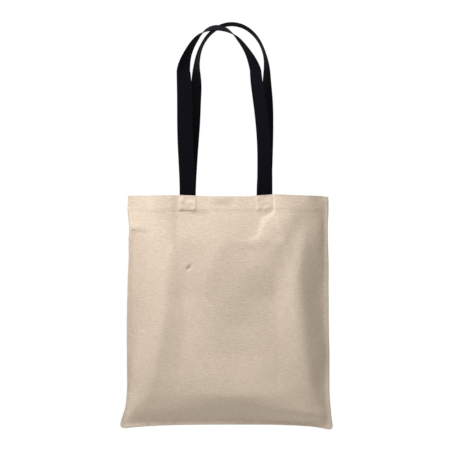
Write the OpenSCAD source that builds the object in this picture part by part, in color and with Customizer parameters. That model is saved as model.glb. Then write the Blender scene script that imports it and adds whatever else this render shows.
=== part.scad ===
// Canvas tote bag with webbing handles, hanging by both handles and lightly filled.
// Two canvas panels are sewn together at the sides and bottom, with the seam
// allowances inside. The mouth has a turned hem, and each webbing handle is sewn
// to the inside of that hem at its two ends.
// Origin: the middle of the underside of the handles' crown, where a hook bears.
// X runs along the mouth, -Y is the front of the bag, +Z is up. Millimetres.

/* [Bag] */
// Width of the bag laid flat
bag_w = 382; // [350:1:410]
// Height of the bag from the mouth to the bottom corners
bag_h = 414; // [370:1:460]
// How far each side seam is drawn in because the bag is filled
draw_in = 11; // [6:1:14]
// Height over which the bottom corners flare out to the full flat width
corner_flare_h = 85; // [60:1:110]
// How far the bottom seam lifts between its corners
bottom_rise = 8; // [2:1:14]
// Size of the cut across each bottom corner
corner_cut = 5; // [2:1:8]

/* [Filling] */
// How far each panel stands out from the seams at the mouth
mouth_depth = 30; // [24:1:38]
// How far each panel stands out from the seams at the fullest height
belly_depth = 34; // [28:1:42]
// Height of the fullest part above the bottom corners
belly_h = 130; // [100:1:180]
// Width of the curve between the flat middle of a panel and its side seam
shoulder_w = 58; // [50:1:66]
// Height of the curve between the bottom seam and the flat middle of a panel
bottom_curve_h = 70; // [55:1:85]

/* [Cloth] */
// Thickness of the canvas
cloth_t = 0.8; // [0.5:0.1:1.1]
// Depth of the hem round the mouth
hem_h = 28; // [24:1:34]
// Width of the seam allowance turned in at the sides and bottom
seam_w = 10; // [8:1:13]
// Width of the overlock stitching that binds the raw edges
overlock_w = 4; // [3:0.5:6]

/* [Handles] */
// Width of the webbing
strap_w = 27; // [24:1:32]
// Thickness of the webbing
strap_t = 1.6; // [1.2:0.1:2.2]
// Height of the handles' underside above the mouth
handle_drop = 289; // [250:1:330]
// Distance between the two ends of a handle, on centre
handle_spacing = 136; // [120:1:150]
// How far the handles are sewn to the side of the middle
handle_shift = -4; // [-8:1:8]
// Height of the arch that each handle makes over its straight legs
arch_h = 71; // [60:1:100]
// Width of the front handle's arch at its foot, on centre
front_arch_w = 127; // [112:1:140]
// Width of the back handle's arch at its foot, on centre
back_arch_w = 126; // [112:1:140]
// How far the front handle's legs bow out half way up
front_bow = 3; // [0:0.5:6]
// How far the front handle's crown hangs to the side
front_lean = -19; // [-22:1:22]
// How far the back handle's crown hangs to the side
back_lean = 10; // [-22:1:22]
// How much higher the back handle's crown rises than the front one's
back_rise = 10; // [0:1:18]
// How far the front handle's crown tips over towards the front, in degrees
front_tip = 26; // [0:1:30]
// Gap between the two handles where they lie side by side on a hook
crown_gap = 4; // [3:0.5:10]

/* [Stitching] */
// Thickness of the sewing thread
thread_t = 0.5; // [0.4:0.1:0.8]
// Length of one stitch
stitch_len = 2.8; // [2:0.1:3.5]
// Distance from one stitch to the next
stitch_pitch = 4; // [3.8:0.1:5]
// Distance from the hem's lower edge up to its stitching
hem_stitch_in = 2; // [1.5:0.5:4]
// Distance from a handle's edges in to its box of stitches
box_stitch_in = 3.5; // [2:0.5:5]
// Height of the box's middle row of stitches above the handle's end
box_middle_up = 12; // [9:1:15]

/* [Hidden] */

canvas_colour = [0.83, 0.75, 0.63];
thread_colour = [0.87, 0.80, 0.69];
webbing_colour = [0.05, 0.05, 0.07];

// A panel edge holds three thicknesses: the panel, its turned edge and the thread.
edge_layers = 3;
edge_t = edge_layers * cloth_t;
// The mouth lies this far below the origin.
mouth_z = -handle_drop;
// The free part of a handle starts just above the mouth, where the webbing bends.
bend_gap = 0.4;

// Inner steps of a panel, where the number of cloth layers changes.
step_w = 0.5;
// Stations across half a panel: 0 to 1 is the flat middle, 1 to 2 the curved
// shoulder and 2 to 3 the flat edge beside the seam.
flat_steps = 3;
shoulder_steps = 9;
half_stations = concat(
    [for (i = [0 : flat_steps - 1]) i / flat_steps],
    [for (i = [0 : shoulder_steps - 1]) 1 + i / shoulder_steps],
    [2 - step_w / shoulder_w, 2, 3 - corner_cut / seam_w, 3]
);
stations = concat(
    [for (i = [len(half_stations) - 1 : -1 : 1]) -half_stations[i]],
    half_stations
);

// Heights up a panel, above the line through the bottom corners.
curve_steps = 8;
field_steps = 9;
curve_top = seam_w + bottom_curve_h;
hem_bottom = bag_h - hem_h;
heights = concat(
    [0, corner_cut, seam_w, seam_w + step_w],
    [for (i = [1 : curve_steps]) seam_w + bottom_curve_h * i / curve_steps],
    [for (i = [1 : field_steps]) curve_top
        + (hem_bottom - step_w - curve_top) * i / field_steps],
    [hem_bottom, bag_h - cloth_t, bag_h]
);

function ease(t) = (1 - cos(180 * max(0, min(1, t)))) / 2;
function mix(a, b, t) = a + (b - a) * t;

// Half the bag's width at a height, seam to seam.
function half_w(h) = bag_w / 2 - draw_in
    + draw_in * pow(max(0, 1 - h / corner_flare_h), 2);
// Half the width of the flat middle of a panel.
function flat_half_w(h) = half_w(h) - seam_w - shoulder_w;
// Distance to the side of a station.
function station_x(s, h) = sign(s) * (
    abs(s) <= 1 ? abs(s) * flat_half_w(h)
    : abs(s) <= 2 ? flat_half_w(h) + (abs(s) - 1) * shoulder_w
    : flat_half_w(h) + shoulder_w + (abs(s) - 2) * seam_w);
// How far a panel stands out where its middle is flat.
function full_depth(h) =
    mix(belly_depth, mouth_depth, ease((h - belly_h) / (hem_bottom - belly_h)))
    * (h <= seam_w ? 0 : sin(90 * min(1, (h - seam_w) / bottom_curve_h)));
// Share of that depth left at a station.
function depth_share(s) = ease(2 - abs(s));
// Lift of the bottom seam, which fades out towards the mouth.
function lift(x, h) = bottom_rise * (1 - pow(abs(x) / half_w(h), 3)) * (1 - h / bag_h);

// Number of cloth layers at a station and height.
function layers(s, h) =
    (abs(s) >= 2 || h <= seam_w || h >= hem_bottom) ? edge_layers : 1;
// The mouth's fold is rounded, by thinning its topmost row.
function fold_round(h) = h >= bag_h ? cloth_t : 0;
// The bottom corners are cut off square to their diagonal.
function is_corner(s, h) = abs(s) >= 3 && h <= 0;

// One point of the front panel, on its outer or inner face.
function panel_point(s, h, inner) =
    let (
        x = station_x(s, h),
        cut = is_corner(s, h) ? corner_cut / 2 : 0,
        out = edge_t + full_depth(h) * depth_share(s),
        thick = inner ? layers(s, h) * cloth_t - fold_round(h) : fold_round(h)
    )
    [x - sign(x) * cut, -out + thick, mouth_z - bag_h + h + lift(x, h) + cut];

// Two triangles for each cell of a grid that is n points wide, from point a.
function cell(a, n) = [[a, a + n, a + n + 1], [a, a + n + 1, a + 1]];
function flipped(faces) = [for (f = faces) [f[2], f[1], f[0]]];
// The rim that joins two matching edges, given as lists of point numbers.
function rim(a, b) = [for (i = [0 : len(a) - 2]) each
    [[a[i], a[i + 1], b[i + 1]], [a[i], b[i + 1], b[i]]]];

module panel() {
    n = len(stations);
    m = len(heights);
    inside = n * m;
    face = [for (j = [0 : m - 2]) for (i = [0 : n - 2]) each cell(j * n + i, n)];
    edge = concat(
        [for (i = [0 : n - 1]) i],
        [for (j = [1 : m - 1]) j * n + n - 1],
        [for (i = [n - 2 : -1 : 0]) (m - 1) * n + i],
        [for (j = [m - 2 : -1 : 0]) j * n]
    );
    polyhedron(
        points = [for (inner = [false, true]) for (h = heights) for (s = stations)
            panel_point(s, h, inner)],
        faces = concat(
            face,
            flipped([for (f = face) [for (p = f) p + inside]]),
            rim(edge, [for (p = edge) p + inside])
        ),
        convexity = 6
    );
}

module front_panel() {
    color(canvas_colour) panel();
}

module back_panel() {
    color(canvas_colour) mirror([0, 1, 0]) panel();
}

// A solid swept through rings of equal length, closed at both ends.
module swept(rings) {
    k = len(rings[0]);
    last = len(rings) - 1;
    polyhedron(
        points = [for (r = rings) each r],
        faces = concat(
            [[for (i = [0 : k - 1]) i]],
            [for (j = [0 : last - 1]) for (i = [0 : k - 1]) let (n = (i + 1) % k) each
                [[j * k + i, (j + 1) * k + i, (j + 1) * k + n],
                 [j * k + i, (j + 1) * k + n, j * k + n]]],
            [[for (i = [k - 1 : -1 : 0]) last * k + i]]
        ),
        convexity = 10
    );
}

// Overlock stitching fills the narrow gap between the two panels beside a seam.
overlock_half_t = edge_t - cloth_t;
overlock_inset = 0.05;
// The bottom overlock stops at this station, short of the side seams.
bottom_overlock_end = 1.9;
overlock_rows = [for (h = heights) if (h > seam_w + step_w && h < hem_bottom - step_w) h];

module side_seam_overlock() {
    t = overlock_half_t - overlock_inset;
    color(thread_colour)
        swept([for (h = overlock_rows) let (
            x = station_x(2 - step_w / shoulder_w, h),
            z = mouth_z - bag_h + h + lift(x, h)
        ) [[x, -t, z], [x, t, z], [x - overlock_w, t, z], [x - overlock_w, -t, z]]]);
}

module right_seam_overlock() {
    side_seam_overlock();
}

module left_seam_overlock() {
    mirror([1, 0, 0]) side_seam_overlock();
}

module bottom_seam_overlock() {
    t = overlock_half_t - overlock_inset;
    h = seam_w + step_w;
    color(thread_colour)
        swept([for (s = stations) if (abs(s) <= bottom_overlock_end) let (
            x = station_x(s, h),
            z = mouth_z - bag_h + h + lift(x, h)
        ) [[x, -t, z], [x, -t, z + overlock_w], [x, t, z + overlock_w], [x, t, z]]]);
}

// One stitch: a short flat length of thread, lying along X on a face.
module stitch() {
    cube([stitch_len, thread_t, thread_t], center = true);
}

// Outer face of the front panel's hem at a distance to the side.
function hem_face_y(x) = let (f = flat_half_w(bag_h), a = abs(x))
    -edge_t - mouth_depth * (a <= f ? 1 : ease(1 - (a - f) / shoulder_w));

module hem_stitching() {
    reach = half_w(bag_h) - seam_w / 2;
    count = floor(reach / stitch_pitch);
    for (i = [-count : count]) {
        x = i * stitch_pitch;
        slope = (hem_face_y(x + 1) - hem_face_y(x - 1)) / 2;
        translate([x, hem_face_y(x), mouth_z - hem_h + hem_stitch_in])
            rotate([0, 0, atan(slope)])
                stitch();
    }
}

module front_hem_stitching() {
    color(thread_colour) hem_stitching();
}

module back_hem_stitching() {
    color(thread_colour) mirror([0, 1, 0]) hem_stitching();
}

// The handles. Heights are above the mouth, and u runs from 0 to 1 up a leg,
// 1 to 2 over the arch and 2 to 3 down the other leg.
leg_steps = 14;
arch_steps = 32;
// How far each leg has turned edge-on, in degrees, at shares of the handle's
// height: [share, left leg, right leg]. Both meet at the crown.
front_turn = [
    [0, 0, 0], [0.25, 3, 22], [0.55, 23, 42], [0.72, 33, 43], [0.78, 46, 56],
    [0.86, 70, 77], [0.94, 83, 90], [0.97, 96, 102], [1, 90 + front_tip, 90 + front_tip]
];
back_turn = [
    [0, 0, 0], [0.3, 39, 26], [0.55, 58, 42], [0.73, 60, 72], [0.83, 80, 90],
    [0.88, 89, 92], [0.93, 86, 93], [1, 90, 90]
];
// Each handle stands this far from the middle plane at the mouth and at its crown,
// and comes in faster towards the crown the more the power is above 1.
base_y = mouth_depth - strap_t / 2;
crown_y = (strap_w + crown_gap) / 2;
come_in_power = 1.2;

// Height of a crown's centre line: its lowest edge touches the origin's level.
function handle_top(rise) = handle_drop + (strap_t + strap_w * sin(front_tip)) / 2 + rise;
leg_h = handle_drop - arch_h;
// How far a leg stands to the side of a handle's middle, u up it.
function leg_x(u, arch_w, bow) =
    mix(handle_spacing, arch_w, ease(u)) / 2 + bow * pow(sin(180 * u), 2);
// Centre line before it leans, as [sideways, height]. A point above 1 sharpens
// the arch and one below 1 flattens it.
function arch(u, arch_w, top, point, bow) =
    u <= 1 ? [-leg_x(u, arch_w, bow), mix(bend_gap, leg_h, u)]
    : u < 2 ? [-arch_w / 2 * cos(180 * (u - 1)),
               leg_h + (top - leg_h) * pow(sin(180 * (u - 1)), point)]
    : [leg_x(3 - u, arch_w, bow), mix(bend_gap, leg_h, 3 - u)];
// How pointed each arch is, and the shares of a handle's height between which it
// leans over.
front_point = 1.45;
back_point = 0.9;
front_lean_span = [0, 1.3];
back_lean_span = [0, 0.67];
front_shape = [front_arch_w, handle_top(0), front_point, front_lean, front_lean_span,
    front_bow];
back_shape = [back_arch_w, handle_top(back_rise), back_point, back_lean, back_lean_span,
    0];
function handle_point(u, shape) =
    let (
        a = arch(u, shape[0], shape[1], shape[2], shape[5]),
        share = a[1] / shape[1],
        span = shape[4],
        lean = shape[3] * ease((share - span[0]) / (span[1] - span[0]))
    )
    [a[0] + handle_shift + lean, -mix(base_y, crown_y, pow(share, come_in_power)), mouth_z + a[1]];

// Outline of the webbing as [across, through], with softened edges.
edge_soft = strap_t / 4;
webbing_outline = [for (p = [[1, 1], [1, -1], [-1, -1], [-1, 1]]) each
    (p[0] * p[1] > 0
        ? [[p[0] * (strap_w / 2 - edge_soft), p[1] * strap_t / 2],
           [p[0] * strap_w / 2, p[1] * (strap_t / 2 - edge_soft)]]
        : [[p[0] * strap_w / 2, p[1] * (strap_t / 2 - edge_soft)],
           [p[0] * (strap_w / 2 - edge_soft), p[1] * strap_t / 2]])];

function unit(v) = v / norm(v);
module handle(shape, turn) {
    tiny = 0.001;
    us = concat(
        [for (i = [0 : leg_steps - 1]) i / leg_steps],
        [for (i = [0 : arch_steps]) 1 + i / arch_steps],
        [for (i = [1 : leg_steps]) 2 + i / leg_steps]
    );
    swept([for (u = us) let (
        p = handle_point(u, shape),
        along = unit(handle_point(min(3, u + tiny), shape)
                     - handle_point(max(0, u - tiny), shape)),
        out = unit(cross(along, [0, 1, 0])),
        side = cross(out, along),
        leg = u < 1.5 ? 1 : 2,
        a = lookup((p[2] - mouth_z) / shape[1], [for (t = turn) [t[0], t[leg]]]),
        across = cos(a) * out - sin(a) * side,
        through = -cos(a) * side - sin(a) * out
    ) [for (q = webbing_outline) p + q[0] * across + q[1] * through]]);
}

module front_handle() {
    color(webbing_colour) handle(front_shape, front_turn);
}

module back_handle() {
    color(webbing_colour)
        mirror([0, 1, 0])
            handle(back_shape, [for (t = back_turn) [t[0], -t[1], -t[2]]]);
}

// The sewn end of a handle, flat against the inside of the hem. side is -1 or 1.
function handle_end_x(side) = handle_shift + side * handle_spacing / 2;

module handle_end(side) {
    translate([handle_end_x(side) - strap_w / 2, -mouth_depth, mouth_z - hem_h])
        cube([strap_w, strap_t, hem_h]);
}

module front_left_handle_end() {
    color(webbing_colour) handle_end(-1);
}

module front_right_handle_end() {
    color(webbing_colour) handle_end(1);
}

module back_left_handle_end() {
    color(webbing_colour) mirror([0, 1, 0]) handle_end(-1);
}

module back_right_handle_end() {
    color(webbing_colour) mirror([0, 1, 0]) handle_end(1);
}

// A run of stitches in the XZ plane from one point to another.
module stitch_run(from, to) {
    run = to - from;
    count = floor(norm(run) / stitch_pitch);
    for (i = [0.5 : count])
        translate([from[0] + run[0] * i / count, 0, from[1] + run[1] * i / count])
            rotate([0, -atan2(run[1], run[0]), 0])
                stitch();
}

// A box of stitches with one more row across its middle.
module box_stitches() {
    x = strap_w / 2 - box_stitch_in;
    top = hem_h - box_stitch_in;
    corners = [[-x, box_stitch_in], [x, box_stitch_in], [x, top], [-x, top]];
    for (i = [0 : 3])
        stitch_run(corners[i], corners[(i + 1) % 4]);
    stitch_run([-x, box_middle_up], [x, box_middle_up]);
}

// The same stitches show on the canvas outside and on the webbing inside.
module handle_stitching(side) {
    for (y = [-mouth_depth - edge_t, -mouth_depth + strap_t])
        translate([handle_end_x(side), y, mouth_z - hem_h])
            box_stitches();
}

module front_left_handle_stitching() {
    color(thread_colour) handle_stitching(-1);
}

module front_right_handle_stitching() {
    color(thread_colour) handle_stitching(1);
}

module back_left_handle_stitching() {
    color(thread_colour) mirror([0, 1, 0]) handle_stitching(-1);
}

module back_right_handle_stitching() {
    color(thread_colour) mirror([0, 1, 0]) handle_stitching(1);
}

front_panel();
back_panel();
left_seam_overlock();
right_seam_overlock();
bottom_seam_overlock();
front_hem_stitching();
back_hem_stitching();
front_handle();
back_handle();
front_left_handle_end();
front_right_handle_end();
back_left_handle_end();
back_right_handle_end();
front_left_handle_stitching();
front_right_handle_stitching();
back_left_handle_stitching();
back_right_handle_stitching();
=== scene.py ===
import math

import bpy
import numpy as np
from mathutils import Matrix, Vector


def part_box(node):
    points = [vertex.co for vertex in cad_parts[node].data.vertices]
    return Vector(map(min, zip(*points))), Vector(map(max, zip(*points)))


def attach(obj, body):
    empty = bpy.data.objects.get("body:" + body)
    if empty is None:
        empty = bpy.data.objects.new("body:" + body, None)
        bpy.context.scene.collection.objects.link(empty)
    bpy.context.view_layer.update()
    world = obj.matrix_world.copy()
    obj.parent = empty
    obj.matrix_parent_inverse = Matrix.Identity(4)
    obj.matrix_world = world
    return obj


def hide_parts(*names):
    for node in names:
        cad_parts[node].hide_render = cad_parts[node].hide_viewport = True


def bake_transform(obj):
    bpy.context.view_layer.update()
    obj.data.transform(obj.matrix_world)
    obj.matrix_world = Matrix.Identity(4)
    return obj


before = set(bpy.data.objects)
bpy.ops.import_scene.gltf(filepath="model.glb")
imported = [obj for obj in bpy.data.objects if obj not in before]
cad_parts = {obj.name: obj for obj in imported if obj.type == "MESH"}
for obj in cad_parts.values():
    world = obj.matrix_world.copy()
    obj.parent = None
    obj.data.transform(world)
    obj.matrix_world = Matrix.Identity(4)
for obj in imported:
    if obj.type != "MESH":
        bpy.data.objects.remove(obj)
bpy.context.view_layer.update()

# ---------------------------------------------------------------------------------
# Canvas panels
# Two panels of heavy natural cotton canvas, sewn together down both sides and along
# the bottom, and turned right side out. The mouth is folded in twice and stitched.
# Each panel bellies out a little between soft folds that run down to the corners.

# Sewn sizes, in millimetres. Heights are above the bottom corners. The sides flare
# towards the corners, and the bottom seam rises between them.
mouth_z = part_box("front_panel")[1].z * 1000
bag_height = 414.0
half_width = 180.0
corner_flare = 11.0
flare_height = 85.0
bottom_rise = 8.0
seam_width = 10.0
hem_height = 28.0
hem_line = bag_height - hem_height
canvas_thick = 0.8
hem_thick = 3 * canvas_thick

# The webbing that is sewn behind the hem, and where its ends are, on centre.
webbing_wide = 27.0
webbing_thick = 1.6
webbing_ends = (-72.0, 64.0)

# The rows of stitches: their pitch, how far above the hem's lower edge its own row is,
# how far inside the webbing's edges the box is, and how high its middle row is.
stitch_pitch = 4.0
hem_row = 2.0
box_in = 3.5
middle_row = 12.0


def fade(place, start, end):
    """0 up to the start and 1 from the end on, or the other way round, smooth between."""
    t = np.clip((place - start) / (end - start), 0, 1)
    return t * t * (3 - 2 * t)


def hump(place, middle, width, power=2):
    """1 in the middle and fading out over a width, with a flatter top at a high power."""
    return np.exp(-(((place - middle) / width) ** power))


def half_at(h):
    """Half the bag's width at a height."""
    return half_width + corner_flare * np.maximum(0, 1 - h / flare_height) ** 2


def along(path, h):
    """Sideways place of a fold line, given as (height, sideways), at a height."""
    return np.interp(h, [p[0] for p in path], [p[1] for p in path])


def beside(path, x, h):
    """How far a place lies to the left of a path of (sideways, height) points that is
    followed downwards, and which share of the path it is level with."""
    best = np.full(np.shape(x), np.inf)
    side, share = np.zeros(np.shape(x)), np.zeros(np.shape(x))
    lengths = [math.dist(a, b) for a, b in zip(path, path[1:])]
    gone = 0.0
    for (ax, ah), (bx, bh), length in zip(path, path[1:], lengths):
        ux, uh = (bx - ax) / length, (bh - ah) / length
        t = np.clip((x - ax) * ux + (h - ah) * uh, 0, length)
        away = np.hypot(x - ax - t * ux, h - ah - t * uh)
        turn = (x - ax) * uh - (h - ah) * ux
        closer = away < best
        best = np.where(closer, away, best)
        side = np.where(closer, -away * np.sign(turn), side)
        share = np.where(closer, (gone + t) / sum(lengths), share)
        gone += length
    return side, share


def near(x, h, at, size, turn=0.0):
    """A soft spot, 1 in its middle, with its two sizes and its turn in degrees."""
    a = math.radians(turn)
    dx, dh = x - at[0], h - at[1]
    u = dx * math.cos(a) + dh * math.sin(a)
    v = dh * math.cos(a) - dx * math.sin(a)
    return hump(u, 0, size[0]) * hump(v, 0, size[1])


# The folds of each panel from seam to seam. Each line is (height, sideways, how far
# it stands out); the cloth runs nearly straight from one line to the next.
front_lines = [
    # left foot
    [(10, -169, 0), (22, -170, 7), (36, -170, 11.5), (55, -167, 10), (85, -161, 8.5),
     (130, -160, 3.5), (180, -152, 2.5), (230, -150, 3), (280, -148, 3.5), (330, -144, 4.5),
     (372, -136, 4.5), (414, -138, 1.5)],
    # left ridge
    [(10, -163, 0), (22, -155, 7), (36, -148, 12.5), (55, -142, 18.5), (85, -136, 24),
     (130, -127, 27.5), (180, -118, 27.5), (230, -113, 24.5), (280, -112, 22), (330, -105, 21),
     (372, -101, 27.5), (414, -104, 33)],
    # left valley
    [(10, -110, 0), (22, -105, 12.5), (36, -101, 17), (55, -96, 21.5), (85, -91, 23.5),
     (130, -82, 21), (180, -75, 17), (230, -78, 14.5), (280, -80, 19), (330, -88, 24),
     (372, -88, 25), (414, -79, 29)],
    # middle left
    [(10, -19, 0), (22, -14, 11.5), (36, -9, 20), (55, -6, 28.5), (85, -8, 28),
     (130, -16, 23.5), (180, -29, 24), (230, -43, 24), (280, -33, 30.5), (330, -9, 34.5),
     (372, -18, 33), (414, -32, 30.5)],
    # middle right
    [(10, 32, 0), (22, 33, 10), (36, 32, 22.5), (55, 32, 30), (85, 35, 26), (130, 30, 18.5),
     (180, 21, 17.5), (230, 17, 24.5), (280, 26, 29.5), (330, 47, 30), (372, 40, 30),
     (414, 23, 29)],
    # right valley
    [(10, 79, 0), (22, 84, 17.5), (36, 88, 22.5), (55, 88, 24.5), (85, 95, 19.5), (130, 93, 19),
     (180, 86, 19), (230, 82, 18.5), (280, 85, 27), (330, 86, 36), (372, 73, 27),
     (414, 61, 28.5)],
    # right ridge
    [(10, 147, 0), (22, 139, 18), (36, 135, 17), (55, 137, 17), (85, 134, 21), (130, 129, 26.5),
     (180, 123, 30), (230, 116, 31.5), (280, 111, 28), (330, 106, 29), (372, 111, 27.5),
     (414, 113, 20.5)],
    # right shoulder
    [(10, 171, 0), (22, 165, 9), (36, 156, 9.5), (55, 153, 14.5), (85, 145, 21),
     (130, 139, 24.5), (180, 138, 27), (230, 130, 29), (280, 125, 31), (330, 135, 25),
     (372, 141, 16.5), (414, 146, 14)],
    # right foot
    [(10, 177, 0), (22, 173, 6.5), (36, 167, 5.5), (55, 167, 4.5), (85, 165, 3),
     (130, 169, 5.5), (180, 166, 4), (230, 163, 3), (280, 168, 2.5), (330, 170, 5),
     (372, 168, 4.5), (414, 163, 3.5)],
]
back_lines = [
    [(10, -164, 0), (30, -160, 10), (60, -150, 18), (95, -142, 24), (140, -136, 27),
     (190, -130, 28), (240, -126, 28), (290, -122, 28), (340, -120, 28), (414, -116, 28)],
    [(10, -70, 0), (30, -72, 13), (60, -74, 23), (95, -76, 28), (140, -78, 30),
     (190, -82, 30), (240, -84, 29), (290, -80, 29), (340, -76, 28), (414, -72, 28)],
    [(10, 0, 0), (30, 5, 14), (60, 8, 25), (95, 10, 31), (140, 12, 34),
     (190, 15, 34), (240, 15, 33), (290, 10, 32), (340, 0, 31), (414, -10, 30)],
    [(10, 95, 0), (30, 95, 13), (60, 94, 23), (95, 92, 28), (140, 90, 29),
     (190, 88, 29), (240, 84, 29), (290, 76, 29), (340, 70, 28), (414, 66, 28)],
    [(10, 165, 0), (30, 160, 10), (60, 152, 18), (95, 144, 24), (140, 136, 27),
     (190, 130, 28), (240, 124, 29), (290, 120, 29), (340, 118, 29), (414, 114, 29)],
]


def bulge(lines, cell=4.0, softening=3):
    """The panel's shape between its fold lines, as a softened grid."""
    xs = np.arange(-half_width, half_width + cell, cell)
    hs = np.arange(0, bag_height + cell, cell)
    grid = np.zeros((len(hs), len(xs)))
    for row, h in enumerate(hs):
        places, depths = [-half_width + seam_width], [0.0]
        for line in lines:
            heights = [p[0] for p in line]
            places.append(np.interp(h, heights, [p[1] for p in line]))
            depths.append(np.interp(h, heights, [p[2] for p in line]))
        grid[row] = np.interp(xs, places + [half_width - seam_width], depths + [0.0])
    for _ in range(softening):
        for axis in (0, 1):
            wide = np.pad(grid, [(1, 1) if a == axis else (0, 0) for a in (0, 1)], "edge")
            low, high = (wide[:-2], wide[2:]) if axis == 0 else (wide[:, :-2], wide[:, 2:])
            grid = (low + 2 * grid + high) / 4
    return xs, hs, grid


def sampled(field, x, h):
    """Smooth reading of such a grid at any place, by cubic B-splines."""
    xs, hs, grid = field
    step = xs[1] - xs[0]
    fx = np.clip((x - xs[0]) / step, 0, len(xs) - 1.001)
    fh = np.clip((h - hs[0]) / step, 0, len(hs) - 1.001)
    i, j = fx.astype(int), fh.astype(int)

    def weights(f):
        return [((1 - f) ** 3) / 6, (3 * f ** 3 - 6 * f ** 2 + 4) / 6,
                (-3 * f ** 3 + 3 * f ** 2 + 3 * f + 1) / 6, f ** 3 / 6]

    total = 0.0
    for b, wb in enumerate(weights(fh - j)):
        for a, wa in enumerate(weights(fx - i)):
            row = np.clip(j + b - 1, 0, len(hs) - 1)
            column = np.clip(i + a - 1, 0, len(xs) - 1)
            total = total + grid[row, column] * wa * wb
    return total


def softened(line, at, width=6.0):
    """Reading of a line of (place, value) pairs, rounded over a width."""
    places, values = [p[0] for p in line], [p[1] for p in line]
    parts = [np.interp(at + k * width / 2, places, values) for k in (-2, -1, 0, 1, 2)]
    return (parts[0] + 2 * parts[1] + 3 * parts[2] + 2 * parts[3] + parts[4]) / 9


def uneven(seed, cell):
    """Seeded irregularities of the cloth, about 1 high and a cell across."""
    xs = np.arange(-half_width - cell, half_width + 2 * cell, cell)
    hs = np.arange(-cell, bag_height + 2 * cell, cell)
    return xs, hs, np.random.default_rng(seed).uniform(-1, 1, (len(hs), len(xs)))


# How far each side seam is drawn in or let out, as (height, inwards), and the mouth's
# line, as (sideways, up). Both panels share them.
left_seam = [(0, -2.0), (14, -3.4), (40, 0.2), (80, 0.4), (190, 0), (230, 0.9), (265, 1.8),
             (300, 3.2), (343, 3.4), (350, 4.6), (357, 4.2), (374, 2.4), (388, 1.0), (414, 1.8)]
right_seam = [(0, 3.6), (14, 3.4), (40, 1.6), (80, 0.4), (130, 0.2), (195, 1.5), (300, 1.9),
              (335, 3.0), (366, 3.2), (384, 2.0), (405, 2.0), (414, 2.6)]
mouth_line = [(-180, -0.9), (-165, -0.2), (-120, 0.0), (-100, 0.5), (-84, 0.2), (-60, -0.6),
              (-40, -1.5), (0, -2.0), (36, -1.8), (54, -0.2), (64, 0.4), (80, 1.7), (100, 1.6),
              (118, 0.3), (150, -0.1), (168, -0.8), (180, -2.4)]


# A crease is written as its height out of the cloth, then where it fades in and out.
def front_creases(x, h):
    """Creases of the front panel: how far each lifts the cloth or sinks it."""
    # A fold beside the right webbing end turns down, inwards and level. At shares of its
    # length: how wide its slope is, how high it rises, and how far out it falls again.
    path = [(81, 416), (81, 385), (77.5, 379), (68, 374), (62, 369), (59, 362), (57, 351),
            (54, 344), (49, 339), (43, 336), (36, 334.5)]
    side, share = beside(path, x, h)
    slope = np.interp(share, [0, 0.3, 0.45, 0.8, 1], [4.5, 6.5, 13, 11, 8])
    rise = np.interp(share, [0, 0.3, 0.45, 0.8, 1], [3.0, 2.8, 3.2, 2.6, 0.6])
    fall = np.interp(share, [0, 0.45, 0.8, 1], [62, 55, 24, 12])
    lift = rise * fade(side, -slope / 2, slope / 2) * fade(side, fall + 8, 8)
    # A sharper valley beside the left webbing end.
    valley = [(240, -86), (300, -89), (350, -94), (414, -93)]
    lift -= 1.5 * hump(x, along(valley, h), 7) * fade(h, 235, 355)
    # A small dent with a raised lip.
    lift -= 1.5 * near(x, h, (-70, 283.5), (5.5, 2.8), 52)
    lift += 0.5 * near(x, h, (-74, 290), (7, 4), 52)
    # Two faint creases, pressed in when the bag lay folded.
    pressed = 0.24 * hump(x, 86, 2.4) + 0.13 * hump(x, -90, 2.4)
    lift -= pressed * fade(h, 25, 50) * fade(h, 250, 220)
    # The cloth stands out at the right side of the left webbing end, and the hem waves
    # between the two ends.
    lift += 1.6 * fade(x, -88, -58) * fade(x, -28, -58) * fade(h, 378, 390)
    lift += 0.5 * hump(x, -58, 1.9) * fade(h, 385, 390)
    lift += 0.7 * near(x, h, (-23, 404), (9, 22)) + 0.8 * near(x, h, (19, 404), (9, 22))
    # The mouth's edge leans forwards between the two, and back at the right one.
    lift += 2.2 * hump(x, -12, 20, 4) * fade(h, 396, 412)
    lift -= 1.5 * hump(x, 71, 17, 4) * fade(h, 382, 414)
    # A slack diagonal from the right webbing end towards the right seam.
    slack = [(230, 122), (290, 112), (340, 100), (370, 90)]
    lift += 1.2 * hump(x, along(slack, h), 9) * fade(h, 225, 275) * fade(h, 385, 365)
    return lift


def front_pinch(x, h):
    """The front's bulge over a pinch, where the left seam was tugged."""
    pinch_height, slant = 350.5, 0.10
    over = h - pinch_height + slant * (x + 175)
    swell = 3.4 * (1 - np.exp(-np.maximum(over, 0) / 5)) * fade(over, 50, 10)
    tuck = 0.5 * hump(over, 0, 2.5)
    return (swell - tuck) * hump(x, -half_width, 26)


def back_creases(x, h):
    """Creases of the back panel: three below its webbing ends, one at each seam, and one
    that was pressed in when the bag lay folded."""
    lift = 1.5 * near(x, h, (-96, 352), (7, 42), 14)
    lift -= 1.3 * near(x, h, (-48, 330), (8, 40), -12)
    lift += 1.4 * near(x, h, (92, 340), (8, 46), -10)
    lift -= 1.6 * near(x, h, (168, 300), (12, 5), 6)
    lift -= 1.0 * near(x, h, (-166, 190), (12, 5), -6)
    return lift - 0.3 * hump(x, -82, 1.1) * fade(h, 25, 50) * fade(h, 240, 210)


# How high the hem's step is, how deep its row of stitches lies and how high the cloth is
# gathered between them; and how far a webbing end shows through, and its stitches sink.
hem_step, hem_groove, gather_height = 0.5, 0.65, 0.05
webbing_step, webbing_groove = 1.1, 0.3

# The lower edge of each end: the heights above the hem's edge between which it rises,
# how far the cloth sinks below it, and how much it puckers. The left one is sharp and
# sunk, and the right one slopes away.
end_edges = [(webbing_ends[0], 0.3, 1.7, 0.75, 1.1), (webbing_ends[1], -5.0, 6.0, 0.1, 0.7)]


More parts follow.
